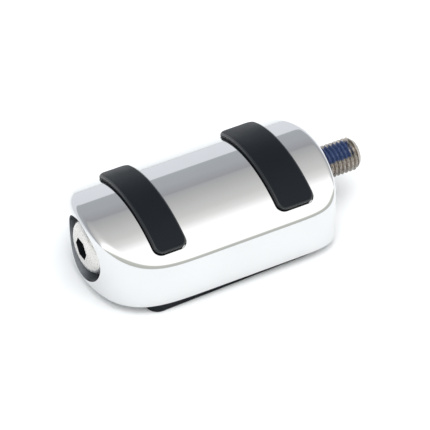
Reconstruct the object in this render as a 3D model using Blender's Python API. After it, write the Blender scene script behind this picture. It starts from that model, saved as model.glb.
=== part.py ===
"""Shifter peg for a motorcycle: a hollow die-cast body with an arched top, two rubber grip bands,
a rubber sole on a steel plate, and one through bolt that fastens the peg to its lever.

Metres, +Z up. X runs along the bolt, +X towards the lever. The origin is on the ground, under the
middle of the whole part. Every size below is derived from the named dimensions that come first."""

import math

import bmesh
import bpy
from mathutils import Matrix, Vector

MM = 0.001

# Body: upright walls under an arch. In plan, a round outboard nose and a square inboard tail meet at the
# widest section. Each is half of a superellipse, with its powers given as (along, across).
NOSE_LENGTH = 26.45 * MM
TAIL_LENGTH = 34.2 * MM
HALF_WIDTH = 17.9 * MM
BODY_HEIGHT = 17.4 * MM
NOSE_POWERS = (4.4, 2.25)
TAIL_POWERS = (13.5, 1.9)
ARCH_RADIUS = 27.9 * MM
END_FILLET = 1.8 * MM
SIDE_FILLET = 0.5 * MM
FILLET_FALL = 1.7
TOP_RING_SHARES = (0.86, 0.7, 0.54, 0.38, 0.2)
TAIL_FLAT = 0.5 * MM
SIDE_WALL = 2.0 * MM
ROOF = 3.1 * MM
OUTER_WALL = 3.4 * MM
INNER_WALL = 4.0 * MM
OUTLINE_POINTS = 64

# Sole, a little narrower inboard: its half width falls by SOLE_TAPER per unit of length
SOLE_DROP = 2.1 * MM
SOLE_START = -17.4 * MM
SOLE_END = 25.7 * MM
SOLE_HALF_WIDTH = 16.7 * MM
SOLE_TAPER = 0.03
SOLE_CORNER = 3.0 * MM
SOLE_CHAMFER = 0.5 * MM
PLATE_THICKNESS = 2.0 * MM

# Bolt: 5/16-24 UNF button head, 2 5/8 in long, with a 3/16 in hexagon socket
AXIS_ABOVE_BODY_FLOOR = 8.4 * MM
BOLT_LENGTH = 66.7 * MM
BOLT_RADIUS = 3.97 * MM
THREAD_PITCH = 25.4 / 24 * MM
THREAD_DEPTH = 0.65 * MM
THREAD_LENGTH = 20.0 * MM
STUD_PROJECTION = 10.4 * MM
HEAD_RADIUS = 6.95 * MM
HEAD_HEIGHT = 4.2 * MM
HEAD_CROWN_RADIUS = 3.6 * MM
HEX_ACROSS_FLATS = 4.76 * MM
HEX_DEPTH = 2.6 * MM
BORE_RADIUS = 4.4 * MM
COUNTERBORE_RADIUS = 8.0 * MM
SPRING_WASHER = 2.0 * MM
WASHER_SPLIT = math.radians(14)
WASHER_SPLIT_LEAN = math.radians(12)
TUBE_RADIUS = 5.4 * MM

# Grip bands, given in the unrolled arch: X along the peg, S around the arch
BAND_CENTRES = (-10.7 * MM, 21.2 * MM)
BAND_NAMES = ("outboard", "inboard")
BAND_WIDTHS = (8.0 * MM, 9.2 * MM)
BAND_HALF_LENGTH = 15.9 * MM
BAND_HEIGHT = 1.2 * MM
BAND_CORNER = 2.0 * MM
BAND_BEVEL = 0.5 * MM
SLOT_DEPTH = 1.4 * MM
STRIP_THICKNESS = 0.8 * MM
STRIP_MARGIN = 1.3 * MM
STRIP_STUD_S = 12.2 * MM

# Small fasteners, M3
STUD_RADIUS = 1.5 * MM
NUT_ACROSS_FLATS = 5.5 * MM
NUT_HEIGHT = 2.4 * MM
NUT_WASHER_RADIUS = 3.0 * MM
NUT_WASHER_HEIGHT = 0.8 * MM
SOLE_SCREW_PLACES = ((-1.5 * MM, -11.5 * MM), (12.5 * MM, -11.5 * MM),
                     (-1.5 * MM, 11.5 * MM), (12.5 * MM, 11.5 * MM))
SOLE_SCREW_NAMES = ("outboard_near", "inboard_near", "outboard_far", "inboard_far")
SOLE_SCREW_LENGTH = 6.0 * MM
SOLE_SCREW_HEAD_RADIUS = 2.8 * MM
SOLE_SCREW_HEAD_HEIGHT = 1.5 * MM
SOLE_SCREW_SOCKET_RADIUS = 1.2 * MM
SOLE_SCREW_SOCKET_DEPTH = 1.0 * MM
SOLE_SCREW_HOLE_RADIUS = 3.6 * MM
BOSS_RADIUS = 3.2 * MM

# Clearance between neighbouring pieces, and how far a cutter runs past a face
GAP = 0.3 * MM
OVERRUN = 2.0 * MM

# Places worked out from the sizes
BODY_FLOOR = SOLE_DROP
ARCH_CENTRE_Z = BODY_FLOOR + BODY_HEIGHT - ARCH_RADIUS
AXIS_Z = BODY_FLOOR + AXIS_ABOVE_BODY_FLOOR
NOSE_X = -(NOSE_LENGTH + TAIL_LENGTH + STUD_PROJECTION) / 2
BODY_X = NOSE_X + NOSE_LENGTH
END_X = BODY_X + TAIL_LENGTH
TIP_X = END_X + STUD_PROJECTION
UNDER_HEAD_X = TIP_X - BOLT_LENGTH
SEAT_X = UNDER_HEAD_X + SPRING_WASHER + 2 * GAP
CAVITY_START_X = SEAT_X + OUTER_WALL
CAVITY_END_X = END_X - INNER_WALL


# ---------------------------------------------------------------- outlines

def outline_radius(angle):
    """Distance from the widest section's middle to the plan outline in the direction of angle."""
    length = TAIL_LENGTH if math.cos(angle) > 0 else NOSE_LENGTH
    power_along, power_across = TAIL_POWERS if math.cos(angle) > 0 else NOSE_POWERS
    along = abs(math.cos(angle)) / length
    across = abs(math.sin(angle)) / HALF_WIDTH
    low, high = 0.0, length + HALF_WIDTH
    for _ in range(50):
        middle = (low + high) / 2
        if (along * middle) ** power_along + (across * middle) ** power_across < 1:
            low = middle
        else:
            high = middle
    return low


def outline_normal(point):
    """Outward direction of the plan outline at one of its points."""
    length = TAIL_LENGTH if point.x > 0 else NOSE_LENGTH
    power_along, power_across = TAIL_POWERS if point.x > 0 else NOSE_POWERS
    along = (abs(point.x) / length) ** (power_along - 1) * power_along / length
    across = (abs(point.y) / HALF_WIDTH) ** (power_across - 1) * power_across / HALF_WIDTH
    return Vector((math.copysign(along, point.x), math.copysign(across, point.y))).normalized()


def plan_outline(inset=0.0, count=OUTLINE_POINTS):
    """Points and normals of the body's plan outline, even in arc length, moved inwards by inset."""
    dense = []
    steps = count * 20
    for step in range(steps + 1):
        angle = 2 * math.pi * step / steps
        radius = outline_radius(angle)
        dense.append(Vector((radius * math.cos(angle), radius * math.sin(angle))))
    travelled = [0.0]
    for first, second in zip(dense, dense[1:]):
        travelled.append(travelled[-1] + (second - first).length)
    points = []
    index = 0
    for number in range(count):
        wanted = travelled[-1] * number / count
        while travelled[index + 1] < wanted:
            index += 1
        share = (wanted - travelled[index]) / (travelled[index + 1] - travelled[index])
        point = dense[index].lerp(dense[index + 1], share)
        normal = outline_normal(point)
        points.append((point - normal * inset, normal))
    return points


def rounded_rectangle(half_x, half_y, corner, corner_steps=4):
    """Corner points of a rounded rectangle, counter-clockwise from the +X +Y corner."""
    points = []
    for quarter, (sign_x, sign_y) in enumerate(((1, 1), (-1, 1), (-1, -1), (1, -1))):
        centre_x = sign_x * (half_x - corner)
        centre_y = sign_y * (half_y - corner)
        for step in range(corner_steps + 1):
            angle = math.pi / 2 * (quarter + step / corner_steps)
            points.append((centre_x + corner * math.cos(angle), centre_y + corner * math.sin(angle)))
    return points


def circle(radius, count):
    """Points of a circle."""
    points = []
    for number in range(count):
        angle = 2 * math.pi * number / count
        points.append((radius * math.cos(angle), radius * math.sin(angle)))
    return points


def arch_height(y, radius=ARCH_RADIUS):
    """Height of the arch at y from the peg's middle plane."""
    return ARCH_CENTRE_Z + math.sqrt(radius * radius - y * y)


# ---------------------------------------------------------------- mesh helpers

def loft(rings):
    """A closed solid through rings of equally many points, the first and last ring capped."""
    mesh = bmesh.new()
    made = [[mesh.verts.new(point) for point in ring] for ring in rings]
    count = len(made[0])
    for lower, upper in zip(made, made[1:]):
        for number in range(count):
            after = (number + 1) % count
            mesh.faces.new((lower[number], lower[after], upper[after], upper[number]))
    mesh.faces.new(list(reversed(made[0])))
    mesh.faces.new(made[-1])
    return mesh


def flat_rings(levels):
    """Rings for loft from (outline, z) pairs."""
    return [[(x, y, z) for x, y in outline] for outline, z in levels]


def bend_over_arch(mesh, half_length, steps):
    """Wrap a flat slab over the arch: Y becomes the way around it, Z the distance from its axis."""
    for step in range(1, steps):
        place = half_length * (2 * step / steps - 1)
        everything = mesh.verts[:] + mesh.edges[:] + mesh.faces[:]
        bmesh.ops.bisect_plane(mesh, geom=everything, plane_co=(0, place, 0), plane_no=(0, 1, 0))
    for vertex in mesh.verts:
        angle = vertex.co.y / ARCH_RADIUS
        distance = vertex.co.z
        vertex.co.y = distance * math.sin(angle)
        vertex.co.z = ARCH_CENTRE_Z + distance * math.cos(angle)


def turned(profile, count):
    """A solid turned about X from (x, radius) points; it starts and ends on the axis or as a tube."""
    on_axis = profile[0][1] == 0
    points = profile[1:-1] if on_axis else profile
    mesh = bmesh.new()
    rings = []
    for x, radius in points:
        rings.append([mesh.verts.new((x, y, z)) for y, z in circle(radius, count)])
    pairs = list(zip(rings, rings[1:]))
    if not on_axis:
        pairs.append((rings[-1], rings[0]))
    for lower, upper in pairs:
        for number in range(count):
            after = (number + 1) % count
            mesh.faces.new((lower[number], lower[after], upper[after], upper[number]))
    if on_axis:
        mesh.faces.new(list(reversed(rings[0])))
        mesh.faces.new(rings[-1])
    return mesh


def make_object(name, mesh, material, location=(0, 0, 0), rotation=None):
    """Put a mesh in the scene as a smooth-shaded object with its material."""
    bmesh.ops.recalc_face_normals(mesh, faces=mesh.faces[:])
    data = bpy.data.meshes.new(name)
    mesh.to_mesh(data)
    mesh.free()
    data.shade_smooth()
    data.set_sharp_from_angle(angle=math.radians(30))
    data.materials.append(material)
    item = bpy.data.objects.new(name, data)
    item.matrix_world = Matrix.Translation(location) @ (rotation or Matrix.Identity(4))
    bpy.context.collection.objects.link(item)
    return item


def make_cutter(name, mesh, location=(0, 0, 0), rotation=None):
    """A hidden solid that only cuts or joins other solids."""
    item = make_object(name, mesh, MATERIALS["cutter"], location, rotation)
    item.hide_render = True
    item.display_type = 'WIRE'
    return item


def combine(item, other, operation):
    """Add an exact Boolean of item with other."""
    modifier = item.modifiers.new(other.name, 'BOOLEAN')
    modifier.operation = operation
    modifier.object = other
    modifier.solver = 'EXACT'


# ---------------------------------------------------------------- materials

def principled(name, colour, metallic, roughness):
    """A plain Principled BSDF material."""
    material = bpy.data.materials.new(name)
    material.use_nodes = True
    shader = material.node_tree.nodes["Principled BSDF"]
    shader.inputs["Base Color"].default_value = (*colour, 1)
    shader.inputs["Metallic"].default_value = metallic
    shader.inputs["Roughness"].default_value = roughness
    return material


def make_materials():
    return {
        "chrome": principled("chrome", (0.86, 0.87, 0.89), 1.0, 0.05),
        "rubber": principled("rubber", (0.02, 0.02, 0.022), 0.0, 0.5),
        "stainless": principled("stainless", (0.66, 0.65, 0.62), 1.0, 0.28),
        "zinc": principled("zinc", (0.6, 0.6, 0.58), 1.0, 0.4),
        "cutter": principled("cutter", (0.8, 0.3, 0.1), 0.0, 0.6),
    }


# ---------------------------------------------------------------- body

def arched_block(inset, radius, floor_z, fillets):
    """A block with the body's plan, inset, under an arch of the given radius."""
    outline = plan_outline(inset)
    rings = [[(point.x, point.y, floor_z) for point, _ in outline]]
    steps = 4 if fillets else 0
    for step in range(steps + 1):
        turn = math.pi / 2 * step / max(steps, 1)
        ring = []
        for point, normal in outline:
            share = abs(normal.x) ** FILLET_FALL
            fillet = SIDE_FILLET + (END_FILLET - SIDE_FILLET) * share if fillets else 0.0
            moved = point - normal * fillet * (1 - math.cos(turn))
            drop = fillet * (1 - math.sin(turn))
            ring.append((moved.x, moved.y, arch_height(moved.y, radius) - drop))
        rings.append(ring)
    edge = rings[-1]
    for share in TOP_RING_SHARES:
        rings.append([(x * share, y * share, arch_height(y * share, radius)) for x, y, _ in edge])
    mesh = loft(rings)
    mesh.faces.ensure_lookup_table()
    middle = bmesh.ops.poke(mesh, faces=[mesh.faces[-1]])["verts"][0]
    middle.co.z = arch_height(0, radius)
    return mesh


def block(start_x, end_x):
    """A box from start_x to end_x that reaches well past the body in Y and Z."""
    mesh = bmesh.new()
    bmesh.ops.create_cube(mesh, size=1.0)
    bmesh.ops.scale(mesh, vec=(end_x - start_x, 4 * HALF_WIDTH, 4 * BODY_HEIGHT), verts=mesh.verts)
    bmesh.ops.translate(mesh, vec=((start_x + end_x) / 2, 0, 0), verts=mesh.verts)
    return mesh


def make_shell():
    """Hollow die-cast body: arched top, open underside, flat tail, counterbore, slots, screw bosses."""
    shell = make_object("chrome_body", arched_block(0, ARCH_RADIUS, BODY_FLOOR, True), MATERIALS["chrome"])
    shell.location.x = BODY_X

    cavity = arched_block(SIDE_WALL, ARCH_RADIUS - ROOF, BODY_FLOOR - OVERRUN, False)
    cavity_cutter = make_cutter("cavity_cutter", cavity)
    cavity_cutter.location.x = BODY_X
    limits = make_cutter("cavity_limits", block(CAVITY_START_X, CAVITY_END_X))
    combine(cavity_cutter, limits, 'INTERSECT')
    for number, (x, y) in enumerate(SOLE_SCREW_PLACES):
        top = arch_height(y, ARCH_RADIUS - ROOF) + OVERRUN
        bottom = BODY_FLOOR + PLATE_THICKNESS + GAP
        boss = loft(flat_rings([(circle(BOSS_RADIUS, 16), bottom), (circle(BOSS_RADIUS, 16), top)]))
        combine(cavity_cutter, make_cutter(f"boss_{number}", boss, (BODY_X + x, y, 0)), 'DIFFERENCE')
    combine(shell, cavity_cutter, 'DIFFERENCE')

    tail_flat = block(END_X - TAIL_FLAT, END_X + OVERRUN)
    combine(shell, make_cutter("tail_flat", tail_flat), 'DIFFERENCE')
    start, end = NOSE_X - OVERRUN, END_X + OVERRUN
    bore = turned([(start, 0), (start, COUNTERBORE_RADIUS), (SEAT_X, COUNTERBORE_RADIUS),
                   (SEAT_X, BORE_RADIUS), (end, BORE_RADIUS), (end, 0)], 32)
    combine(shell, make_cutter("bolt_bore", bore, (0, 0, AXIS_Z)), 'DIFFERENCE')

    for number, (x, y) in enumerate(SOLE_SCREW_PLACES):
        top = BODY_FLOOR + SOLE_SCREW_LENGTH + OVERRUN / 2
        pilot = loft(flat_rings([(circle(STUD_RADIUS + GAP, 12), BODY_FLOOR),
                                 (circle(STUD_RADIUS + GAP, 12), top)]))
        combine(shell, make_cutter(f"pilot_{number}", pilot, (BODY_X + x, y, 0)), 'DIFFERENCE')
    for name, x, width in zip(BAND_NAMES, BAND_CENTRES, BAND_WIDTHS):
        outline = rounded_rectangle(width / 2 + GAP, BAND_HALF_LENGTH + GAP, BAND_CORNER + GAP)
        slot = loft(flat_rings([(outline, ARCH_RADIUS - SLOT_DEPTH), (outline, ARCH_RADIUS + OVERRUN)]))
        bend_over_arch(slot, BAND_HALF_LENGTH, 12)
        combine(shell, make_cutter(f"slot_{name}", slot, (BODY_X + x, 0, 0)), 'DIFFERENCE')
        for side in (-1, 1):
            hole = loft(flat_rings([(circle(STUD_RADIUS + GAP, 12), ARCH_RADIUS - ROOF - OVERRUN),
                                    (circle(STUD_RADIUS + GAP, 12), ARCH_RADIUS - SLOT_DEPTH + OVERRUN)]))
            cutter = make_cutter(f"stud_hole_{name}_{side}", hole, *arch_place(x, side))
            combine(shell, cutter, 'DIFFERENCE')
    return shell


def arch_place(x, side):
    """Place and tilt of a radial fastener, at x from the body's middle, on side -1 or 1 of the arch."""
    angle = side * STRIP_STUD_S / ARCH_RADIUS
    return (BODY_X + x, 0, ARCH_CENTRE_Z), Matrix.Rotation(-angle, 4, 'X')


# ---------------------------------------------------------------- grip bands

def make_band(name, x, width):
    """Rubber band over the arch, hollowed below for its steel strip."""
    outer = rounded_rectangle(width / 2, BAND_HALF_LENGTH, BAND_CORNER)
    crest = rounded_rectangle(width / 2 - BAND_BEVEL, BAND_HALF_LENGTH - BAND_BEVEL, BAND_CORNER - BAND_BEVEL)
    margin = STRIP_MARGIN - GAP
    pocket = rounded_rectangle(width / 2 - margin, BAND_HALF_LENGTH - margin, BAND_CORNER - margin)
    bottom = ARCH_RADIUS - SLOT_DEPTH + GAP
    ceiling = bottom + STRIP_THICKNESS + GAP
    top = ARCH_RADIUS + BAND_HEIGHT
    mesh = loft(flat_rings([(pocket, ceiling), (pocket, bottom), (outer, bottom),
                            (outer, top - BAND_BEVEL), (crest, top)]))
    bend_over_arch(mesh, BAND_HALF_LENGTH, 12)
    make_object(f"rubber_band_{name}", mesh, MATERIALS["rubber"], (BODY_X + x, 0, 0))


def make_strip(name, x, width):
    """Curved steel strip bonded under a band, with two studs through the roof of the body."""
    outline = rounded_rectangle(width / 2 - STRIP_MARGIN, BAND_HALF_LENGTH - STRIP_MARGIN, GAP)
    bottom = ARCH_RADIUS - SLOT_DEPTH + GAP
    mesh = loft(flat_rings([(outline, bottom), (outline, bottom + STRIP_THICKNESS)]))
    bend_over_arch(mesh, BAND_HALF_LENGTH, 12)
    strip = make_object(f"band_strip_{name}", mesh, MATERIALS["zinc"], (BODY_X + x, 0, 0))
    end = ARCH_RADIUS - ROOF - NUT_WASHER_HEIGHT - NUT_HEIGHT - 3 * GAP
    for side in (-1, 1):
        stud = loft(flat_rings([(circle(STUD_RADIUS, 12), end),
                                (circle(STUD_RADIUS, 12), bottom + STRIP_THICKNESS / 2)]))
        combine(strip, make_cutter(f"stud_{name}_{side}", stud, *arch_place(x, side)), 'UNION')


def ring_prism(outer, inner, bottom, top):
    """A prism with a hole: outer and inner outlines have equally many points."""
    mesh = bmesh.new()
    rings = []
    for outline, z in ((outer, bottom), (outer, top), (inner, top), (inner, bottom)):
        rings.append([mesh.verts.new((x, y, z)) for x, y in outline])
    count = len(outer)
    for number in range(4):
        first = rings[number]
        second = rings[(number + 1) % 4]
        for index in range(count):
            after = (index + 1) % count
            mesh.faces.new((first[index], first[after], second[after], second[index]))
    return mesh


def hexagon(across_flats, points_per_side):
    """A hexagon with extra points along its sides."""
    corner = across_flats / math.sqrt(3)
    corners = [Vector(point) for point in circle(corner, 6)]
    points = []
    for number in range(6):
        for step in range(points_per_side):
            points.append(tuple(corners[number].lerp(corners[(number + 1) % 6], step / points_per_side)))
    return points


def make_nuts(name, x):
    """Two washers and two hexagon nuts that hold a strip from inside the body."""
    for side, side_name in ((-1, "near"), (1, "far")):
        place, tilt = arch_place(x, side)
        hole = circle(STUD_RADIUS + GAP, 12)
        washer_top = ARCH_RADIUS - ROOF - GAP
        washer_bottom = washer_top - NUT_WASHER_HEIGHT
        washer = ring_prism(circle(NUT_WASHER_RADIUS, 12), hole, washer_bottom, washer_top)
        make_object(f"strip_washer_{name}_{side_name}", washer, MATERIALS["zinc"], place, tilt)
        nut_top = washer_bottom - GAP
        nut = ring_prism(hexagon(NUT_ACROSS_FLATS, 2), hole, nut_top - NUT_HEIGHT, nut_top)
        make_object(f"strip_nut_{name}_{side_name}", nut, MATERIALS["zinc"], place, tilt)


# ---------------------------------------------------------------- sole

def sole_outline(inset):
    """The sole's tapered plan outline, moved inwards by inset."""
    half_length = (SOLE_END - SOLE_START) / 2
    straight = rounded_rectangle(half_length - inset, SOLE_HALF_WIDTH - inset, SOLE_CORNER - inset)
    return [(x, y * (1 - SOLE_TAPER * x / SOLE_HALF_WIDTH)) for x, y in straight]


def make_sole():
    """Rubber sole, with a hole below each screw."""
    tread = sole_outline(SOLE_CHAMFER)
    outline = sole_outline(0.0)
    mesh = loft(flat_rings([(tread, 0.0), (outline, SOLE_CHAMFER), (outline, BODY_FLOOR - GAP)]))
    centre_x = BODY_X + (SOLE_START + SOLE_END) / 2
    sole = make_object("rubber_sole", mesh, MATERIALS["rubber"], (centre_x, 0, 0))
    for number, (x, y) in enumerate(SOLE_SCREW_PLACES):
        hole = loft(flat_rings([(circle(SOLE_SCREW_HOLE_RADIUS, 16), -OVERRUN),
                                (circle(SOLE_SCREW_HOLE_RADIUS, 16), BODY_FLOOR + OVERRUN)]))
        combine(sole, make_cutter(f"sole_hole_{number}", hole, (BODY_X + x, y, 0)), 'DIFFERENCE')


def make_sole_plate():
    """Steel plate that closes the underside and carries the sole."""
    top = BODY_FLOOR + PLATE_THICKNESS
    outline = [(point.x, point.y) for point, _ in plan_outline(SIDE_WALL + GAP)]
    mesh = loft(flat_rings([(outline, BODY_FLOOR), (outline, top)]))
    plate = make_object("sole_plate", mesh, MATERIALS["zinc"], (BODY_X, 0, 0))
    limits = make_cutter("plate_limits", block(CAVITY_START_X + GAP, CAVITY_END_X - GAP))
    combine(plate, limits, 'INTERSECT')
    for number, (x, y) in enumerate(SOLE_SCREW_PLACES):
        head = circle(SOLE_SCREW_HEAD_RADIUS + GAP, 16)
        shank = circle(STUD_RADIUS + GAP, 16)
        hole = loft(flat_rings([(head, BODY_FLOOR - OVERRUN), (head, BODY_FLOOR),
                                (shank, BODY_FLOOR + SOLE_SCREW_HEAD_HEIGHT), (shank, top + OVERRUN)]))
        combine(plate, make_cutter(f"plate_hole_{number}", hole, (BODY_X + x, y, 0)), 'DIFFERENCE')


def make_sole_screws():
    """Countersunk screws through the plate into the bosses."""
    for name, (x, y) in zip(SOLE_SCREW_NAMES, SOLE_SCREW_PLACES):
        head = circle(SOLE_SCREW_HEAD_RADIUS, 12)
        shank = circle(STUD_RADIUS, 12)
        screw = loft(flat_rings([(head, BODY_FLOOR), (shank, BODY_FLOOR + SOLE_SCREW_HEAD_HEIGHT),
                                 (shank, BODY_FLOOR + SOLE_SCREW_LENGTH)]))
        item = make_object(f"sole_screw_{name}", screw, MATERIALS["zinc"], (BODY_X + x, y, 0))
        hexagon_outline = circle(SOLE_SCREW_SOCKET_RADIUS, 6)
        socket = loft(flat_rings([(hexagon_outline, BODY_FLOOR - OVERRUN),
                                  (hexagon_outline, BODY_FLOOR + SOLE_SCREW_SOCKET_DEPTH)]))
        combine(item, make_cutter(f"socket_{name}", socket, (BODY_X + x, y, 0)), 'DIFFERENCE')


# ---------------------------------------------------------------- bolt

def thread_radius(x, angle):
    """Radius of a triangular helical thread at x and angle."""
    phase = (x / THREAD_PITCH - angle / (2 * math.pi)) % 1.0
    return BOLT_RADIUS - THREAD_DEPTH * (1 - abs(2 * phase - 1))


def make_bolt():
    """Button head bolt: domed head with a hexagon socket, plain shank, threaded end."""
    columns = 20
    head_x = UNDER_HEAD_X - HEAD_HEIGHT
    rings = [[(head_x, y, z) for y, z in circle(HEAD_CROWN_RADIUS, columns)]]
    dome_steps = 5
    for step in range(1, dome_steps + 1):
        turn = math.pi / 2 * step / dome_steps
        radius = HEAD_CROWN_RADIUS + (HEAD_RADIUS - HEAD_CROWN_RADIUS) * math.sin(turn)
        x = head_x + (HEAD_HEIGHT - 2 * GAP) * (1 - math.cos(turn))
        rings.append([(x, y, z) for y, z in circle(radius, columns)])
    rings.append([(UNDER_HEAD_X, y, z) for y, z in circle(HEAD_RADIUS, columns)])
    rings.append([(UNDER_HEAD_X, y, z) for y, z in circle(BOLT_RADIUS, columns)])
    chamfer = THREAD_PITCH
    thread_end = TIP_X - chamfer
    rows = round((THREAD_LENGTH - chamfer) / (THREAD_PITCH / 4))
    for row in range(rows + 1):
        x = TIP_X - THREAD_LENGTH + (thread_end - TIP_X + THREAD_LENGTH) * row / rows
        ring = []
        for number in range(columns):
            angle = 2 * math.pi * number / columns
            radius = thread_radius(x, angle)
            ring.append((x, radius * math.cos(angle), radius * math.sin(angle)))
        rings.append(ring)
    rings.append([(TIP_X, y, z) for y, z in circle(BOLT_RADIUS - THREAD_DEPTH - GAP, columns)])
    bolt = make_object("through_bolt", loft(rings), MATERIALS["stainless"], (0, 0, AXIS_Z))
    socket = loft([[(x, y, z) for y, z in circle(HEX_ACROSS_FLATS / math.sqrt(3), 6)]
                   for x in (head_x - OVERRUN, head_x + HEX_DEPTH)])
    combine(bolt, make_cutter("hexagon_socket", socket, (0, 0, AXIS_Z)), 'DIFFERENCE')


def make_spring_washer():
    """Split spring washer under the bolt's head."""
    mesh = bmesh.new()
    steps = 28
    bore = BOLT_RADIUS + GAP
    section = ((bore, 0), (HEAD_RADIUS, 0), (HEAD_RADIUS, SPRING_WASHER), (bore, SPRING_WASHER))
    rows = []
    for step in range(steps + 1):
        angle = WASHER_SPLIT / 2 + (2 * math.pi - WASHER_SPLIT) * step / steps
        row = []
        for radius, x in section:
            lean = WASHER_SPLIT_LEAN * (x / SPRING_WASHER - 0.5)
            row.append(mesh.verts.new((x, radius * math.cos(angle + lean), radius * math.sin(angle + lean))))
        rows.append(row)
    for first, second in zip(rows, rows[1:]):
        for number in range(len(section)):
            after = (number + 1) % len(section)
            mesh.faces.new((first[number], first[after], second[after], second[number]))
    mesh.faces.new(rows[0])
    mesh.faces.new(list(reversed(rows[-1])))
    make_object("spring_washer", mesh, MATERIALS["stainless"], (UNDER_HEAD_X + GAP, 0, AXIS_Z))


def make_spacer_tube():
    """Steel tube that carries the bolt's clamping force between the end walls."""
    start = CAVITY_START_X + GAP
    end = CAVITY_END_X - GAP
    mesh = turned([(start, BORE_RADIUS), (start, TUBE_RADIUS), (end, TUBE_RADIUS), (end, BORE_RADIUS)], 24)
    make_object("spacer_tube", mesh, MATERIALS["zinc"], (0, 0, AXIS_Z))


# ---------------------------------------------------------------- the part

for old in list(bpy.data.objects):
    bpy.data.objects.remove(old, do_unlink=True)

MATERIALS = make_materials()
make_shell()
for band_name, band_x, band_width in zip(BAND_NAMES, BAND_CENTRES, BAND_WIDTHS):
    make_band(band_name, band_x, band_width)
    make_strip(band_name, band_x, band_width)
    make_nuts(band_name, band_x)
make_sole()
make_sole_plate()
make_sole_screws()
make_bolt()
make_spring_washer()
make_spacer_tube()
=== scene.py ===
"""Looks for the shifter peg: chrome body, rubber bands and sole, stainless bolt, on a white studio floor.

Metres, in the CAD frame: +X along the bolt towards the lever, +Z up. Places and overall sizes come
from the frame's boxes, and the few shape rules that a box can't give are named below."""

import math

import bmesh
import bpy
from mathutils import Matrix, Vector
from mathutils.bvhtree import BVHTree
from mathutils.interpolate import poly_3d_calc


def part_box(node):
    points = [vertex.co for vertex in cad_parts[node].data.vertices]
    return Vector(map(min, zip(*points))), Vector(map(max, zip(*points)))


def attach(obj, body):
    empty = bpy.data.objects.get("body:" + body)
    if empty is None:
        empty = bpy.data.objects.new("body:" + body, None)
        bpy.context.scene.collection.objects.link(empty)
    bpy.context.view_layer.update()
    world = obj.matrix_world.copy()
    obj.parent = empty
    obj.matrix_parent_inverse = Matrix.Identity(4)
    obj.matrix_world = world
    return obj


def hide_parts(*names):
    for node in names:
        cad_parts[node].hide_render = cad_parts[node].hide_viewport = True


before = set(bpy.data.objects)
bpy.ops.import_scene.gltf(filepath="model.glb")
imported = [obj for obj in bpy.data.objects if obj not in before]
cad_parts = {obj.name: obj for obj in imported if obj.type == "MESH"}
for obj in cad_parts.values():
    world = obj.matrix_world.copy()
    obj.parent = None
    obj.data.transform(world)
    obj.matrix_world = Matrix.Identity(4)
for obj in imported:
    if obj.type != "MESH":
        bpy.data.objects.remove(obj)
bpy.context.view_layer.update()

MM = 0.001

# Shape rules shared with the CAD model
ARCH_RADIUS = 27.9 * MM
NOSE_LENGTH = 26.45 * MM
NOSE_POWERS = (4.4, 2.25)
TAIL_POWERS = (13.5, 1.9)
END_FILLET = 1.8 * MM
SIDE_FILLET = 0.5 * MM
FILLET_FALL = 1.7
SIDE_WALL = 2.0 * MM
ROOF = 3.1 * MM
SLOT_DEPTH = 1.4 * MM
BAND_CORNER = 2.0 * MM
BORE_RADIUS = 4.4 * MM
COUNTERBORE_RADIUS = 8.0 * MM
BOLT_RADIUS = 3.97 * MM
THREAD_PITCH = 25.4 / 24 * MM
THREAD_DEPTH = 0.65 * MM
THREAD_LENGTH = 20.0 * MM
HEAD_HEIGHT = 4.2 * MM
HEX_ACROSS_FLATS = 4.76 * MM
SOLE_TAPER = 0.03
SOLE_HALF_WIDTH = 16.7 * MM
SOLE_CORNER = 3.0 * MM
SOLE_HOLE_RADIUS = 3.6 * MM
SCREW_SHANK_RADIUS = 1.5 * MM
SCREW_HEAD_HEIGHT = 1.5 * MM
SCREW_SOCKET_RADIUS = 1.2 * MM
WASHER_OPENING = math.radians(14)
WASHER_LEAN = math.radians(12)
TAIL_FLAT = 0.5 * MM
GAP = 0.3 * MM

# Small edges, fits and depths of the looks
HEX_DEPTH = 2.8 * MM
SCREW_SOCKET_DEPTH = 1.1 * MM
FOOT_ROUND = 0.25 * MM
BORE_CHAMFER = 0.25 * MM
SLOT_GAP = 0.12 * MM
SLOT_RIM = 0.25 * MM
SLOT_RIM_TURN = math.radians(65)
BAND_ROUND = 0.75 * MM
BAND_SKIRT = 1.15 * MM
BAND_LIFT = 0.05 * MM
SOLE_ROUND = 0.5 * MM
HEAD_SOFT_EDGE = 0.15 * MM
HEAD_CROWN_SHARE = 0.52
HEAD_CYLINDER = 0.6 * MM
SHANK_FILLET = 0.2 * MM
TIP_CHAMFER = 0.35 * MM
HEXAGON_START = math.radians(-4)
WASHER_EDGE = 0.15 * MM

# How far cutters run past a face, the height of the cutting boxes, and a hair's width that keeps
# two faces from coinciding
OVERRUN = 2 * MM
SOCKET_OVERRUN = 1 * MM
TAIL_OVERRUN = 5 * MM
BLOCK_HEIGHT = 0.1
HAIR = 0.02 * MM

# Sides and steps of round shapes
OUTSIDE_COLUMNS = 320
INSIDE_COLUMNS = 64
ROUND_SIDES = 48
BORE_SIDES = 128
FOOT_STEPS = 4
WALL_STEPS = 10
FILLET_STEPS = 12
TOP_STEPS = 40
BEND_STEPS = 48
ROWS_PER_PITCH = 12

# A cut face still lies on the uncut surface within this distance and this cosine between their normals
SAME_SURFACE = 5e-6
SAME_DIRECTION = 0.985
FACES_INBOARD = 0.9999
SHARP_DEGREES = 35


def box_of(node):
    """Lowest and highest corners of a CAD node."""
    low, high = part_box(node)
    return Vector(low), Vector(high)


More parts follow.
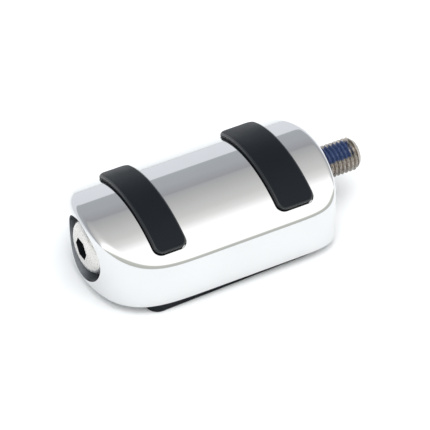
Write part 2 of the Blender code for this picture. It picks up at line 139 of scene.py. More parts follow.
# Places read from the frame
BODY_LOW, BODY_HIGH = box_of("chrome_body")
BOLT_LOW, BOLT_HIGH = box_of("through_bolt")
TUBE_LOW, TUBE_HIGH = box_of("spacer_tube")
SOLE_LOW, SOLE_HIGH = box_of("rubber_sole")
WASHER_LOW, WASHER_HIGH = box_of("spring_washer")
HALF_WIDTH = (BODY_HIGH.y - BODY_LOW.y) / 2
BODY_X = BODY_LOW.x + NOSE_LENGTH
TAIL_LENGTH = BODY_HIGH.x + TAIL_FLAT - BODY_X
FLOOR_Z = BODY_LOW.z
ARCH_Z = BODY_HIGH.z - ARCH_RADIUS
AXIS_Z = (BOLT_HIGH.z + BOLT_LOW.z) / 2
HEAD_RADIUS = (BOLT_HIGH.z - BOLT_LOW.z) / 2
TIP_X = BOLT_HIGH.x
HEAD_X = BOLT_LOW.x
UNDER_HEAD_X = HEAD_X + HEAD_HEIGHT
SEAT_X = WASHER_HIGH.x + GAP
BANDS = ("outboard", "inboard")

# Studio
WORLD_STRENGTH = 2.0
FLOOR_SIZE = 3.0
SOFTBOX_PLACE = (0.0, -0.12, 0.60)
SOFTBOX_AIM = (0, 0, 0.01)
SOFTBOX_SIZE = 0.8
SOFTBOX_POWER = 3.3
CAMERA_TURN = math.radians(-26.8)
CAMERA_LIFT = math.radians(41.8)
CAMERA_ROLL = math.radians(-1.0)
CAMERA_DISTANCE = 0.777
CAMERA_LENS = 284.0
CAMERA_AIM = Vector((-4.57 * MM, 0, 12.7 * MM))
CAMERA_AIM_RIGHT = 3.0 * MM
CAMERA_AIM_DOWN = 3.7 * MM


# ---------------------------------------------------------------- mesh helpers

def loft(rings):
    """A closed mesh through rings of equally many points."""
    mesh = bmesh.new()
    made = [[mesh.verts.new(point) for point in ring] for ring in rings]
    count = len(made[0])
    for lower, upper in zip(made, made[1:]):
        for number in range(count):
            after = (number + 1) % count
            mesh.faces.new((lower[number], lower[after], upper[after], upper[number]))
    mesh.faces.new(list(reversed(made[0])))
    mesh.faces.new(made[-1])
    return mesh


def circle(radius, count, start=0.0):
    """Points of a circle."""
    turns = [start + 2 * math.pi * number / count for number in range(count)]
    return [(radius * math.cos(turn), radius * math.sin(turn)) for turn in turns]


def turned(profile, count):
    """A solid turned about X from (x, radius) points, capped at both ends."""
    return loft([[(x, y, z) for y, z in circle(radius, count)] for x, radius in profile])


def finish_mesh(name, mesh, location=(0, 0, 0), sharp=SHARP_DEGREES):
    """Put a mesh in the scene, in world coordinates, shaded smooth between its sharp edges."""
    bmesh.ops.remove_doubles(mesh, verts=mesh.verts[:], dist=1e-7)
    bmesh.ops.recalc_face_normals(mesh, faces=mesh.faces[:])
    mesh.transform(Matrix.Translation(location))
    data = bpy.data.meshes.new(name)
    mesh.to_mesh(data)
    mesh.free()
    data.shade_smooth()
    data.set_sharp_from_angle(angle=math.radians(sharp))
    item = bpy.data.objects.new(name, data)
    bpy.context.collection.objects.link(item)
    return item


def dress(item, *materials):
    """Give the object its materials, with the first one on every face."""
    item.data.materials.clear()
    for material in materials:
        item.data.materials.append(material)
    for polygon in item.data.polygons:
        polygon.material_index = 0


def combine(item, others, operation):
    """Cut or join other solids, apply the result and remove them."""
    for other in others:
        modifier = item.modifiers.new("combine", 'BOOLEAN')
        modifier.operation = operation
        modifier.object = other
        modifier.solver = 'MANIFOLD'
    apply_modifiers(item)
    for other in others:
        bpy.data.objects.remove(other, do_unlink=True)


def apply_modifiers(item):
    """Replace the object's mesh by its evaluated one."""
    graph = bpy.context.evaluated_depsgraph_get()
    data = bpy.data.meshes.new_from_object(item.evaluated_get(graph))
    item.modifiers.clear()
    item.data = data


def keep_normals(item, source):
    """Give the cut object the uncut surface's exact smooth normals where it still has that surface.
    Faces that the tail cut made flat, towards +X, stay flat."""
    source.calc_loop_triangles()
    places = [vertex.co.copy() for vertex in source.vertices]
    normals = [vertex.normal.copy() for vertex in source.vertices]
    triangles = [tuple(triangle.vertices) for triangle in source.loop_triangles]
    tree = BVHTree.FromPolygons(places, triangles)
    data = item.data
    data.shade_smooth()
    data.set_sharp_from_angle(angle=math.radians(SHARP_DEGREES))
    corner_normals = [normal.vector.copy() for normal in data.corner_normals]
    for polygon in data.polygons:
        _, facing, _, distance = tree.find_nearest(polygon.center)
        if distance > SAME_SURFACE or facing.dot(polygon.normal) < SAME_DIRECTION:
            if polygon.normal.x > FACES_INBOARD:
                for loop in polygon.loop_indices:
                    corner_normals[loop] = polygon.normal
            continue
        for loop in polygon.loop_indices:
            place = data.vertices[data.loops[loop].vertex_index].co
            nearest, _, index, _ = tree.find_nearest(place)
            corners = triangles[index]
            weights = poly_3d_calc([places[corner] for corner in corners], nearest)
            normal = Vector()
            for corner, weight in zip(corners, weights):
                normal += normals[corner] * weight
            corner_normals[loop] = normal.normalized()
    data.normals_split_custom_set(corner_normals)


def rounded_rectangle(half_x, half_y, corner, corner_steps=10):
    """Points of a rounded rectangle, counter-clockwise from the +X +Y corner."""
    points = []
    for quarter, (sign_x, sign_y) in enumerate(((1, 1), (-1, 1), (-1, -1), (1, -1))):
        centre = (sign_x * (half_x - corner), sign_y * (half_y - corner))
        for step in range(corner_steps + 1):
            angle = math.pi / 2 * (quarter + step / corner_steps)
            points.append((centre[0] + corner * math.cos(angle), centre[1] + corner * math.sin(angle)))
    return points


def bend_over_arch(mesh, half_length, steps):
    """Wrap a flat slab over the arch: Y becomes the way around it, Z the distance from its axis."""
    for step in range(1, steps):
        place = half_length * (2 * step / steps - 1)
        everything = mesh.verts[:] + mesh.edges[:] + mesh.faces[:]
        bmesh.ops.bisect_plane(mesh, geom=everything, plane_co=(0, place, 0), plane_no=(0, 1, 0))
    for vertex in mesh.verts:
        angle = vertex.co.y / ARCH_RADIUS
        distance = vertex.co.z
        vertex.co.y = distance * math.sin(angle)
        vertex.co.z = ARCH_Z + distance * math.cos(angle)


def rings_at(levels):
    """Rings for loft from (outline, z) pairs."""
    return [[(x, y, z) for x, y in outline] for outline, z in levels]


# ---------------------------------------------------------------- materials

def new_material(name):
    """An empty node material; returns it with its nodes, links and shader."""
    material = bpy.data.materials.new(name)
    material.use_nodes = True
    nodes = material.node_tree.nodes
    return material, nodes, material.node_tree.links, nodes["Principled BSDF"]


def noise(nodes, links, scale, detail, roughness=0.5):
    """Noise in object space."""
    place = nodes.new("ShaderNodeTexCoord")
    texture = nodes.new("ShaderNodeTexNoise")
    texture.inputs["Scale"].default_value = scale
    texture.inputs["Detail"].default_value = detail
    texture.inputs["Roughness"].default_value = roughness
    links.new(place.outputs["Object"], texture.inputs["Vector"])
    return texture.outputs["Fac"]


def spread(nodes, links, value, low, high, from_low=0.3, from_high=0.7):
    """Map a noise value to the range low..high."""
    remap = nodes.new("ShaderNodeMapRange")
    remap.inputs["From Min"].default_value = from_low
    remap.inputs["From Max"].default_value = from_high
    remap.inputs["To Min"].default_value = low
    remap.inputs["To Max"].default_value = high
    links.new(value, remap.inputs["Value"])
    return remap.outputs["Result"]


def tint(nodes, links, value, dark, light):
    """Mix two colours by a value."""
    mix = nodes.new("ShaderNodeMix")
    mix.data_type = 'RGBA'
    mix.inputs["A"].default_value = (*dark, 1)
    mix.inputs["B"].default_value = (*light, 1)
    links.new(value, mix.inputs["Factor"])
    return mix.outputs["Result"]


def mix_colours(nodes, links, value, first, second):
    """Mix two colour links by a value."""
    mix = nodes.new("ShaderNodeMix")
    mix.data_type = 'RGBA'
    links.new(first, mix.inputs["A"])
    links.new(second, mix.inputs["B"])
    links.new(value, mix.inputs["Factor"])
    return mix.outputs["Result"]


def bump(nodes, links, height, strength, distance, shader):
    """Bump from a height, plugged into the shader's normal."""
    node = nodes.new("ShaderNodeBump")
    node.inputs["Strength"].default_value = strength
    node.inputs["Distance"].default_value = distance
    links.new(height, node.inputs["Height"])
    links.new(node.outputs["Normal"], shader.inputs["Normal"])


def chrome_material():
    """Polished chrome: almost a mirror, with faint polishing haze."""
    material, nodes, links, shader = new_material("polished_chrome")
    shader.inputs["Metallic"].default_value = 1.0
    haze = noise(nodes, links, 90, 4)
    colour = tint(nodes, links, haze, (0.69, 0.695, 0.70), (0.74, 0.745, 0.75))
    links.new(colour, shader.inputs["Base Color"])
    links.new(spread(nodes, links, haze, 0.025, 0.07), shader.inputs["Roughness"])
    wave = noise(nodes, links, 45, 1)
    bump(nodes, links, wave, 0.05, 0.05 * MM, shader)
    return material


def rubber_material(name, roughness, grain, shine=0.14):
    """Black moulded rubber with a fine satin grain."""
    material, nodes, links, shader = new_material(name)
    cloud = noise(nodes, links, 160, 3)
    colour = tint(nodes, links, cloud, (0.0035, 0.0052, 0.0080), (0.0065, 0.0092, 0.0130))
    links.new(colour, shader.inputs["Base Color"])
    links.new(spread(nodes, links, cloud, roughness - 0.05, roughness + 0.07), shader.inputs["Roughness"])
    shader.inputs["Specular IOR Level"].default_value = shine
    bump(nodes, links, noise(nodes, links, 5200, 2), grain, 0.03 * MM, shader)
    return material


def steel_material(name, dark, light, roughness):
    """Bare or plated steel with fine tool marks."""
    material, nodes, links, shader = new_material(name)
    shader.inputs["Metallic"].default_value = 1.0
    marks = noise(nodes, links, 900, 4, 0.6)
    cloud = noise(nodes, links, 220, 3)
    links.new(tint(nodes, links, cloud, dark, light), shader.inputs["Base Color"])
    links.new(spread(nodes, links, marks, roughness - 0.08, roughness + 0.1), shader.inputs["Roughness"])
    bump(nodes, links, marks, 0.2, 0.02 * MM, shader)
    return material


MATERIALS = {
    "chrome": chrome_material(),
    "band": rubber_material("band_rubber", 0.42, 0.25),
    "sole": rubber_material("sole_rubber", 0.55, 0.4),
    "stainless": steel_material("stainless_steel", (0.50, 0.48, 0.45), (0.68, 0.66, 0.62), 0.24),
    "band_edge": rubber_material("band_rubber_edge", 0.22, 0.1, 0.6),
    "casting": steel_material("raw_casting", (0.27, 0.29, 0.32), (0.50, 0.53, 0.57), 0.42),
    # Near-black for the inside of the bolt's hexagon socket and drilled hole: painted shade in the recess,
    # together with some oily grime
    "painted_shade_and_grime": rubber_material("socket_painted_shade_and_grime", 0.6, 0.4, 0.2),
    "zinc": steel_material("zinc_plated_steel", (0.46, 0.47, 0.46), (0.66, 0.66, 0.62), 0.34),
}


# ---------------------------------------------------------------- body

def outline_radius(angle):
    """Distance from the widest section's middle to the body's plan outline in the direction of angle."""
    length = TAIL_LENGTH if math.cos(angle) > 0 else NOSE_LENGTH
    power_along, power_across = TAIL_POWERS if math.cos(angle) > 0 else NOSE_POWERS
    along = abs(math.cos(angle)) / length
    across = abs(math.sin(angle)) / HALF_WIDTH
    low, high = 0.0, length + HALF_WIDTH
    for _ in range(50):
        middle = (low + high) / 2
        if (along * middle) ** power_along + (across * middle) ** power_across < 1:
            low = middle
        else:
            high = middle
    return low


def outline_normal(point):
    """Outward direction of the plan outline at one of its points."""
    length = TAIL_LENGTH if point.x > 0 else NOSE_LENGTH
    power_along, power_across = TAIL_POWERS if point.x > 0 else NOSE_POWERS
    along = (abs(point.x) / length) ** (power_along - 1) * power_along / length
    across = (abs(point.y) / HALF_WIDTH) ** (power_across - 1) * power_across / HALF_WIDTH
    return Vector((math.copysign(along, point.x), math.copysign(across, point.y))).normalized()


def plan_outline(count):
    """Points and outward normals of the plan outline, even in arc length."""
    dense = []
    steps = count * 12
    for step in range(steps + 1):
        angle = 2 * math.pi * step / steps
        radius = outline_radius(angle)
        dense.append(Vector((radius * math.cos(angle), radius * math.sin(angle))))
    travelled = [0.0]
    for first, second in zip(dense, dense[1:]):
        travelled.append(travelled[-1] + (second - first).length)
    found = []
    index = 0
    for number in range(count):
        wanted = travelled[-1] * number / count
        while travelled[index + 1] < wanted:
            index += 1
        share = (wanted - travelled[index]) / (travelled[index + 1] - travelled[index])
        point = dense[index].lerp(dense[index + 1], share)
        found.append((point, outline_normal(point)))
    return found


def arch_height(y, radius=ARCH_RADIUS):
    """Height of the arch at y."""
    return ARCH_Z + math.sqrt(radius * radius - y * y)


def arched_solid(outline, inset, radius, low_z, foot, fillets):
    """The body's form, or a smaller one inside it: upright walls, rounded edges, arched top."""
    columns = []
    for point, normal in outline:
        column = []
        for step in range(FOOT_STEPS if foot else 0):
            turn = math.pi / 2 * step / FOOT_STEPS
            in_by = foot * (1 - math.sin(turn))
            column.append((point - normal * in_by, low_z + foot * (1 - math.cos(turn))))
        share = abs(normal.x) ** FILLET_FALL
        fillet = SIDE_FILLET + (END_FILLET - SIDE_FILLET) * share if fillets else 0.0
        start = low_z + foot
        wall = point - normal * inset
        top_z = arch_height(wall.y, radius)
        for step in range(WALL_STEPS):
            column.append((wall, start + (top_z - fillet - start) * step / WALL_STEPS))
        fillet_steps = FILLET_STEPS if fillets else 1
        for step in range(fillet_steps + 1):
            turn = math.pi / 2 * step / fillet_steps
            moved = wall - normal * fillet * (1 - math.cos(turn))
            drop = fillet * (1 - math.sin(turn))
            column.append((moved, arch_height(moved.y, radius) - drop))
        last = column[-1][0]
        for step in range(1, TOP_STEPS):
            moved = last * (1 - step / TOP_STEPS)
            column.append((moved, arch_height(moved.y, radius)))
        columns.append(column)
    rings = []
    for row in range(len(columns[0])):
        rings.append([(place.x, place.y, z) for place, z in (column[row] for column in columns)])
    mesh = loft(rings)
    mesh.faces.ensure_lookup_table()
    middle = bmesh.ops.poke(mesh, faces=[mesh.faces[-1]])["verts"][0]
    middle.co.z = arch_height(0, radius)
    return mesh


def make_body():
    """Chrome body: smooth outside, hollow inside, with counterbore, bolt bore, flat tail and band slots."""
    outside = arched_solid(plan_outline(OUTSIDE_COLUMNS), 0.0, ARCH_RADIUS, FLOOR_Z, FOOT_ROUND, True)
    body = finish_mesh("chrome_shell", outside, (BODY_X, 0, 0), sharp=60)
    uncut = body.data.copy()

    inside = arched_solid(plan_outline(INSIDE_COLUMNS), SIDE_WALL, ARCH_RADIUS - ROOF,
                          FLOOR_Z - OVERRUN, 0.0, False)
    cavity = finish_mesh("cavity", inside, (BODY_X, 0, 0))
    limits = finish_mesh("limits", block(TUBE_LOW.x - GAP, TUBE_HIGH.x + GAP))
    combine(cavity, [limits], 'INTERSECT')

    tail = finish_mesh("tail", block(BODY_HIGH.x, BODY_HIGH.x + TAIL_OVERRUN))
    mouth = BORE_RADIUS + BORE_CHAMFER
    bore = turned([(BODY_LOW.x - OVERRUN, COUNTERBORE_RADIUS), (SEAT_X, COUNTERBORE_RADIUS),
                   (SEAT_X, BORE_RADIUS), (BODY_HIGH.x - BORE_CHAMFER, BORE_RADIUS),
                   (BODY_HIGH.x, mouth), (BODY_HIGH.x + OVERRUN, mouth)], BORE_SIDES)
    cutters = [tail, cavity, finish_mesh("bore", bore, (0, 0, AXIS_Z))]
    for name in BANDS:
        cutters.append(slot_cutter(name))
    combine(body, cutters, 'DIFFERENCE')
    keep_normals(body, uncut)
    dress(body, MATERIALS["chrome"], MATERIALS["casting"])
    seat_margin = 0.1 * MM
    wall_margin = 0.01 * MM
    for polygon in body.data.polygons:
        place = polygon.center
        from_axis = math.hypot(place.y, place.z - AXIS_Z)
        if place.x < SEAT_X + seat_margin and from_axis < COUNTERBORE_RADIUS + wall_margin:
            polygon.material_index = 1
    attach(body, "peg")
    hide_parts("chrome_body")


def block(start_x, end_x):
    """A box from start_x to end_x that reaches well past the body in Y and Z."""
    mesh = bmesh.new()
    bmesh.ops.create_cube(mesh, size=1.0)
    bmesh.ops.scale(mesh, vec=(end_x - start_x, 4 * HALF_WIDTH, BLOCK_HEIGHT), verts=mesh.verts)
    bmesh.ops.translate(mesh, vec=((start_x + end_x) / 2, 0, 0), verts=mesh.verts)
    return mesh


def band_size(name):
    """Centre, half width and half length around the arch of a rubber band."""
    low, high = box_of(f"rubber_band_{name}")
    reach = high.y
    top = high.z - ARCH_Z
    half_length = ARCH_RADIUS * math.asin(reach / (top - 0.5 * MM))
    return (low.x + high.x) / 2, (high.x - low.x) / 2, half_length


def slot_cutter(name):
    """The shallow slot for a band, with a rounded rim."""
    x, half_width, half_length = band_size(name)
    half_width += SLOT_GAP
    half_length += SLOT_GAP
    levels = []
    levels.append((rounded_rectangle(half_width, half_length, BAND_CORNER), ARCH_RADIUS - SLOT_DEPTH))
    steps = 5
    for step in range(steps + 1):
        turn = SLOT_RIM_TURN * step / steps
        grow = SLOT_RIM * (1 - math.cos(turn))
        rise = SLOT_RIM * math.sin(turn) / math.sin(SLOT_RIM_TURN)
        outline = rounded_rectangle(half_width + grow, half_length + grow, BAND_CORNER + grow)
        past = HAIR if step == steps else 0.0
        levels.append((outline, ARCH_RADIUS - SLOT_RIM + rise + past))
    slot = loft(rings_at(levels + [(levels[-1][0], ARCH_RADIUS + OVERRUN)]))
    bend_over_arch(slot, half_length, BEND_STEPS)
    return finish_mesh(f"slot_{name}", slot, (x, 0, 0))


# ---------------------------------------------------------------- rubber

def make_band(name):
    """Rubber band: rounded long edges, rounded ends, seated in its slot."""
    x, half_width, half_length = band_size(name)
    _, high = box_of(f"rubber_band_{name}")
    top = high.z - ARCH_Z
    bevel = BAND_ROUND
    hollow_margin = 1.0 * MM
    hollow_corner = 0.6 * MM
    inner = rounded_rectangle(half_width - hollow_margin, half_length - hollow_margin, hollow_corner)
    outer = rounded_rectangle(half_width, half_length, BAND_CORNER)
    floor = ARCH_RADIUS - SLOT_DEPTH + BAND_LIFT
    levels = [(inner, floor + BAND_SKIRT), (inner, floor), (outer, floor)]
    steps = 8
    for step in range(steps + 1):
        turn = math.pi / 2 * step / steps
        inset = bevel * (1 - math.cos(turn))
        outline = rounded_rectangle(half_width - inset, half_length - inset, BAND_CORNER - inset)
        levels.append((outline, top - bevel * 0.8 * (1 - math.sin(turn))))
    for share in (0.75, 0.5, 0.25):
        shorter = (1 - share) * 2 * MM
        outline = rounded_rectangle((half_width - bevel) * share, half_length - bevel - shorter,
                                    (BAND_CORNER - bevel) * share)
        levels.append((outline, top))
    mesh = loft(rings_at(levels))
    bend_over_arch(mesh, half_length, 64)
    band = finish_mesh(f"grip_band_{name}", mesh, (x, 0, 0), sharp=50)
    dress(band, MATERIALS["band"], MATERIALS["band_edge"])
    for polygon in band.data.polygons:
        outward = Vector((0, polygon.center.y, polygon.center.z - ARCH_Z))
        if outward.length > top - bevel and 0.2 < polygon.normal.dot(outward.normalized()) < 0.93:
            polygon.material_index = 1
    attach(band, "peg")
    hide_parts(f"rubber_band_{name}")


def sole_holes():
    """Centres of the screw holes in the sole, read from the screws' boxes."""
    places = []
    for name in ("outboard_near", "inboard_near", "outboard_far", "inboard_far"):
        low, high = box_of(f"sole_screw_{name}")
        places.append((name, (low.x + high.x) / 2, (low.y + high.y) / 2))
    return places


def tapered(outline):
    """The outline made narrower towards +X by the sole's taper."""
    return [(x, y * (1 - SOLE_TAPER * x / SOLE_HALF_WIDTH)) for x, y in outline]


def make_sole():
    """Rubber sole with a rounded tread edge and clear holes for the screws."""
    half_x = (SOLE_HIGH.x - SOLE_LOW.x) / 2
    levels = []
    steps = 6
    for step in range(steps + 1):
        turn = math.pi / 2 * step / steps
        inset = SOLE_ROUND * (1 - math.sin(turn))
        outline = rounded_rectangle(half_x - inset, SOLE_HALF_WIDTH - inset, SOLE_CORNER - inset, 16)
        levels.append((tapered(outline), SOLE_LOW.z + SOLE_ROUND * (1 - math.cos(turn))))
    levels.append((levels[-1][0], FLOOR_Z - HAIR))
    sole = finish_mesh("sole_pad", loft(rings_at(levels)), ((SOLE_LOW.x + SOLE_HIGH.x) / 2, 0, 0))
    cutters = []
    hole_low, hole_high = -2 * MM, 8 * MM
    for _, x, y in sole_holes():
        round_hole = circle(SOLE_HOLE_RADIUS, ROUND_SIDES)
        hole = loft(rings_at([(round_hole, hole_low), (round_hole, hole_high)]))
        cutters.append(finish_mesh("hole", hole, (x, y, 0)))
    combine(sole, cutters, 'DIFFERENCE')
    sole.data.set_sharp_from_angle(angle=math.radians(SHARP_DEGREES))
    dress(sole, MATERIALS["sole"])
    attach(sole, "peg")
    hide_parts("rubber_sole")


# ---------------------------------------------------------------- bolt

def thread_radius(x, angle):
    """Radius of a 60 degree thread with flat crests and roots."""
    crest_share, flank_share = 0.12, 0.66
    phase = (x / THREAD_PITCH - angle / (2 * math.pi)) % 1.0
    from_crest = abs(phase - 0.5) * 2
    slope = min(max((from_crest - crest_share) / flank_share, 0.0), 1.0)
    return BOLT_RADIUS - THREAD_DEPTH * slope


def make_bolt():
    """Button head bolt with a hexagon socket, a plain shank and a fine threaded end."""
    columns = 96
    crown = HEAD_CROWN_SHARE * HEAD_RADIUS
    profile = [(HEAD_X, crown)]
    dome_steps = 18
    for step in range(1, dome_steps + 1):
        turn = math.pi / 2 * step / dome_steps
        profile.append((HEAD_X + (HEAD_HEIGHT - HEAD_CYLINDER) * (1 - math.cos(turn)),
                        crown + (HEAD_RADIUS - crown) * math.sin(turn)))
    profile += [(UNDER_HEAD_X - HEAD_SOFT_EDGE, HEAD_RADIUS), (UNDER_HEAD_X, HEAD_RADIUS - HEAD_SOFT_EDGE),
                (UNDER_HEAD_X, BOLT_RADIUS + SHANK_FILLET), (UNDER_HEAD_X + SHANK_FILLET, BOLT_RADIUS)]
    rings = [[(x, y, z) for y, z in circle(radius, columns)] for x, radius in profile]
    start = TIP_X - THREAD_LENGTH
    rows = round(THREAD_LENGTH / (THREAD_PITCH / ROWS_PER_PITCH))
    tip_radius = BOLT_RADIUS - THREAD_DEPTH - TIP_CHAMFER
    for row in range(rows + 1):
        x = start + THREAD_LENGTH * row / rows
        limit = tip_radius + (TIP_X - x) * 0.9
        fade = min((x - start) / THREAD_PITCH, 1.0)
        ring = []
        for number in range(columns):
            angle = 2 * math.pi * number / columns
            radius = BOLT_RADIUS + (thread_radius(x, angle) - BOLT_RADIUS) * fade
            radius = min(radius, limit)
            ring.append((x, radius * math.cos(angle), radius * math.sin(angle)))
        rings.append(ring)
    bolt = finish_mesh("button_head_bolt", loft(rings), (0, 0, AXIS_Z), sharp=50)
    corner = HEX_ACROSS_FLATS / math.sqrt(3)
    hexagon = circle(corner, 6, HEXAGON_START)
    socket = loft([[(x, y, z) for y, z in hexagon] for x in (HEAD_X - SOCKET_OVERRUN, HEAD_X + HEX_DEPTH)])
    # The drilled hole lies just inside the hexagon's flats and ends in a cone
    drill_radius = corner * 0.84
    drill_start = HEAD_X + 0.5 * MM
    cone_depth = 0.9 * MM
    cone_tip = 0.1 * MM
    drill = turned([(drill_start, drill_radius), (HEAD_X + HEX_DEPTH, drill_radius),
                    (HEAD_X + HEX_DEPTH + cone_depth, cone_tip)], ROUND_SIDES)
    cutters = [finish_mesh("socket", socket, (0, 0, AXIS_Z)), finish_mesh("drill", drill, (0, 0, AXIS_Z))]
    combine(bolt, cutters, 'DIFFERENCE')
    bolt.data.set_sharp_from_angle(angle=math.radians(45))
    # Faces inside the socket and the drilled hole get the near-black second material: painted shade in the
    # recess, with some oily grime
    dress(bolt, bolt_material(), MATERIALS["painted_shade_and_grime"])
    socket_end = HEAD_X + HEX_DEPTH + 1 * MM
    for polygon in bolt.data.polygons:
        place = polygon.center
        from_axis = math.hypot(place.y, place.z - AXIS_Z)
        if HEAD_X + HAIR < place.x < socket_end and from_axis < corner:
            polygon.material_index = 1
    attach(bolt, "bolt")
    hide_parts("through_bolt")


def math_node(nodes, links, operation, first, second=None, clamp=False):
    """A Math node whose inputs are links or numbers; returns its output."""
    node = nodes.new("ShaderNodeMath")
    node.operation = operation
    node.use_clamp = clamp
    for socket, value in zip(node.inputs, (first, second)):
        if isinstance(value, (int, float)):
            socket.default_value = value
        elif value is not None:
            links.new(value, socket)
    return node.outputs["Value"]


def step_down(nodes, links, value, edge, width):
    """1 below the edge, falling to 0 over width."""
    return spread(nodes, links, value, 1.0, 0.0, edge, edge + width)


def bolt_material():
    """Stainless steel: speckled head, darker threads, and a dried blue thread-locking patch on one side."""
    material, nodes, links, shader = new_material("bolt_stainless")
    place = nodes.new("ShaderNodeTexCoord")
    axes = nodes.new("ShaderNodeSeparateXYZ")
    links.new(place.outputs["Object"], axes.inputs["Vector"])
    height = math_node(nodes, links, 'SUBTRACT', axes.outputs["Z"], AXIS_Z)
    marks = noise(nodes, links, 1400, 4, 0.65)
    cloud = noise(nodes, links, 260, 3)
    bright = tint(nodes, links, cloud, (0.56, 0.55, 0.53), (0.74, 0.73, 0.71))
    warm = tint(nodes, links, cloud, (0.30, 0.27, 0.24), (0.50, 0.46, 0.42))
    threaded = math_node(nodes, links, 'GREATER_THAN', axes.outputs["X"], TIP_X - THREAD_LENGTH)
    steel = mix_colours(nodes, links, threaded, bright, warm)
    dirt = spread(nodes, links, noise(nodes, links, 1900, 2, 0.7), 0.0, 0.55, 0.60, 0.68)
    brown = tint(nodes, links, cloud, (0.10, 0.08, 0.07), (0.2, 0.17, 0.15))
    steel = mix_colours(nodes, links, dirt, steel, brown)

    patch_middle = math.radians(108)
    patch_half_width = math.radians(44)
    patch_end = TIP_X - 2.2 * THREAD_PITCH + 0.8 * MM
    wobble = math_node(nodes, links, 'MULTIPLY', noise(nodes, links, 700, 3), 1.6 * MM)
    along = math_node(nodes, links, 'ADD', axes.outputs["X"], wobble)
    ends = step_down(nodes, links, along, patch_end, 0.2 * MM)
    angle = math_node(nodes, links, 'ARCTAN2', height, axes.outputs["Y"])
    away = math_node(nodes, links, 'ABSOLUTE', math_node(nodes, links, 'SUBTRACT', angle, patch_middle))
    ripple = math_node(nodes, links, 'MULTIPLY', noise(nodes, links, 900, 2), 0.25)
    ragged = math_node(nodes, links, 'ADD', away, ripple)
    side = step_down(nodes, links, ragged, patch_half_width, 0.12)
    patch = math_node(nodes, links, 'MULTIPLY', ends, side)
    patch = math_node(nodes, links, 'MULTIPLY', patch, threaded)
    blue = tint(nodes, links, marks, (0.010, 0.018, 0.060), (0.055, 0.090, 0.21))
    links.new(mix_colours(nodes, links, patch, steel, blue), shader.inputs["Base Color"])
    links.new(spread(nodes, links, patch, 1.0, 0.15, 0.0, 1.0), shader.inputs["Metallic"])
    links.new(spread(nodes, links, marks, 0.2, 0.4), shader.inputs["Roughness"])
    bump(nodes, links, marks, 0.25, 0.02 * MM, shader)
    return material


def make_washer():
    """Split spring washer with slanted ends."""
    steps = 120
    thickness = WASHER_HIGH.x - WASHER_LOW.x
    inner = BOLT_RADIUS + GAP
    edge = WASHER_EDGE
    section = [(inner, edge), (inner + edge, 0), (HEAD_RADIUS - edge, 0), (HEAD_RADIUS, edge),
               (HEAD_RADIUS, thickness - edge), (HEAD_RADIUS - edge, thickness), (inner + edge, thickness),
               (inner, thickness - edge)]
    rings = []
    for step in range(steps + 1):
        angle = WASHER_OPENING / 2 + (2 * math.pi - WASHER_OPENING) * step / steps
        ring = []
        for radius, x in section:
            turn = angle + WASHER_LEAN * (x / thickness - 0.5)
            ring.append((x, radius * math.cos(turn), radius * math.sin(turn)))
        rings.append(ring)
    washer = finish_mesh("split_washer", loft(rings), (WASHER_LOW.x, 0, AXIS_Z))
    dress(washer, MATERIALS["stainless"])
    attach(washer, "washer")
    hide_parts("spring_washer")


def make_sole_screws():
    """Countersunk screws in the sole plate, with hexagon sockets."""
    for name, x, y in sole_holes():
        low, high = box_of(f"sole_screw_{name}")
        head = (high.x - low.x) / 2
        shank = SCREW_SHANK_RADIUS
        chamfer = 0.4 * MM
        profile = [(head - 0.2 * MM, low.z), (head, low.z + 0.15 * MM), (shank, low.z + SCREW_HEAD_HEIGHT),
                   (shank, high.z - chamfer), (shank - chamfer, high.z)]
        rings = rings_at([(circle(radius, ROUND_SIDES), z) for radius, z in profile])
        screw = finish_mesh(f"plate_screw_{name}", loft(rings), (x, y, 0))
        hexagon = circle(SCREW_SOCKET_RADIUS, 6)
        socket = loft(rings_at([(hexagon, low.z - SOCKET_OVERRUN), (hexagon, low.z + SCREW_SOCKET_DEPTH)]))
        combine(screw, [finish_mesh("socket", socket, (x, y, 0))], 'DIFFERENCE')
        screw.data.set_sharp_from_angle(angle=math.radians(30))
        dress(screw, MATERIALS["zinc"])
        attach(screw, "peg")
        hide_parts(f"sole_screw_{name}")


def dress_hidden_steel():
    """The steel pieces inside the body keep their CAD meshes and get a plated finish."""
    for node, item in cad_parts.items():
        if node.startswith(("band_strip", "strip_nut", "strip_washer", "sole_plate", "spacer_tube")):
            dress(item, MATERIALS["zinc"])


# ---------------------------------------------------------------- studio

def make_floor():
    """Plain white floor."""
    mesh = bmesh.new()
    bmesh.ops.create_grid(mesh, x_segments=1, y_segments=1, size=FLOOR_SIZE)
    floor = finish_mesh("studio_floor", mesh)
    material, nodes, links, shader = new_material("white_floor")
    cloud = noise(nodes, links, 6, 2)
    colour = tint(nodes, links, cloud, (0.875, 0.890, 0.912), (0.895, 0.910, 0.932))
    links.new(colour, shader.inputs["Base Color"])
    links.new(spread(nodes, links, cloud, 0.75, 0.85), shader.inputs["Roughness"])
    shader.inputs["Specular IOR Level"].default_value = 0.2
    floor.data.materials.append(material)


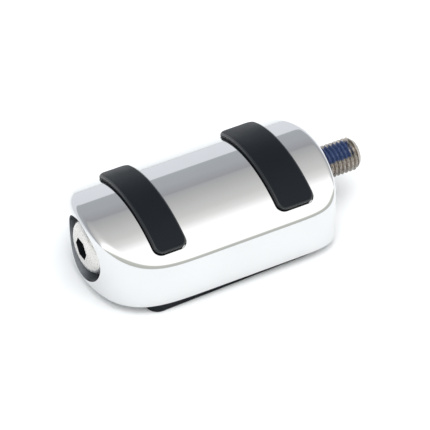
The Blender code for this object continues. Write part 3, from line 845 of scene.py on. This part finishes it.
def make_world():
    """Studio surroundings as long strips parallel to the peg, from the far side over it to the near."""
    world = bpy.data.worlds.new("studio")
    world.use_nodes = True
    nodes = world.node_tree.nodes
    links = world.node_tree.links
    place = nodes.new("ShaderNodeTexCoord")
    axes = nodes.new("ShaderNodeSeparateXYZ")
    links.new(place.outputs["Generated"], axes.inputs["Vector"])
    pitch = math_node(nodes, links, 'ARCTAN2', axes.outputs["Z"], axes.outputs["Y"])
    share = math_node(nodes, links, 'DIVIDE', pitch, math.pi, clamp=True)
    ramp = nodes.new("ShaderNodeValToRGB")
    links.new(share, ramp.inputs["Fac"])
    # Degrees from the far horizon, over the top, to the near horizon, with the strip's colour
    strips = ((0, (0.46, 0.475, 0.50)), (24.2, (0.46, 0.475, 0.50)), (25.2, (0.255, 0.27, 0.285)),
              (40, (0.25, 0.26, 0.275)), (52, (0.215, 0.217, 0.23)), (54, (0.255, 0.257, 0.262)),
              (64, (0.305, 0.305, 0.30)), (74, (0.36, 0.362, 0.355)), (81, (0.40, 0.40, 0.39)),
              (89, (0.50, 0.50, 0.49)), (97, (0.72, 0.72, 0.71)), (124, (0.72, 0.72, 0.705)),
              (134, (0.36, 0.365, 0.34)), (170, (0.31, 0.315, 0.29)), (180, (0.50, 0.51, 0.53)))
    elements = ramp.color_ramp.elements
    elements[0].position, elements[1].position = 0.0, 1.0
    elements[0].color, elements[1].color = (*strips[0][1], 1), (*strips[-1][1], 1)
    for degrees, colour in strips[1:-1]:
        elements.new(degrees / 180).color = (*colour, 1)
    links.new(ramp.outputs["Color"], nodes["Background"].inputs["Color"])
    nodes["Background"].inputs["Strength"].default_value = WORLD_STRENGTH
    bpy.context.scene.world = world


def make_softbox():
    """A square softbox over the peg, left out of its reflections."""
    data = bpy.data.lights.new("overhead_softbox", 'AREA')
    data.shape = 'SQUARE'
    data.size = SOFTBOX_SIZE
    data.energy = SOFTBOX_POWER
    item = bpy.data.objects.new("overhead_softbox", data)
    item.location = SOFTBOX_PLACE
    towards_peg = Vector(SOFTBOX_AIM) - Vector(SOFTBOX_PLACE)
    item.rotation_euler = towards_peg.to_track_quat('-Z', 'Y').to_euler()
    item.visible_glossy = False
    bpy.context.collection.objects.link(item)


def make_camera():
    """Camera above and to the outboard side, far back with a long lens."""
    turn, lift, roll = CAMERA_TURN, CAMERA_LIFT, CAMERA_ROLL
    back = Vector((math.sin(turn) * math.cos(lift), -math.cos(turn) * math.cos(lift), math.sin(lift)))
    level = Vector((math.cos(turn), math.sin(turn), 0))
    upright = back.cross(level)
    right = math.cos(roll) * level + math.sin(roll) * upright
    up = math.cos(roll) * upright - math.sin(roll) * level
    data = bpy.data.cameras.new("camera")
    data.sensor_width = 36.0
    data.lens = CAMERA_LENS
    camera = bpy.data.objects.new("camera", data)
    aim = CAMERA_AIM + right * CAMERA_AIM_RIGHT - up * CAMERA_AIM_DOWN
    basis = Matrix((right, up, back)).transposed().to_4x4()
    camera.matrix_world = Matrix.Translation(aim + back * CAMERA_DISTANCE) @ basis
    bpy.context.collection.objects.link(camera)
    bpy.context.scene.camera = camera


make_camera()
make_floor()
make_world()
make_softbox()
bpy.context.scene.view_settings.view_transform = 'Standard'

make_body()
for band in BANDS:
    make_band(band)
make_sole()
make_bolt()
make_washer()
make_sole_screws()
dress_hidden_steel()
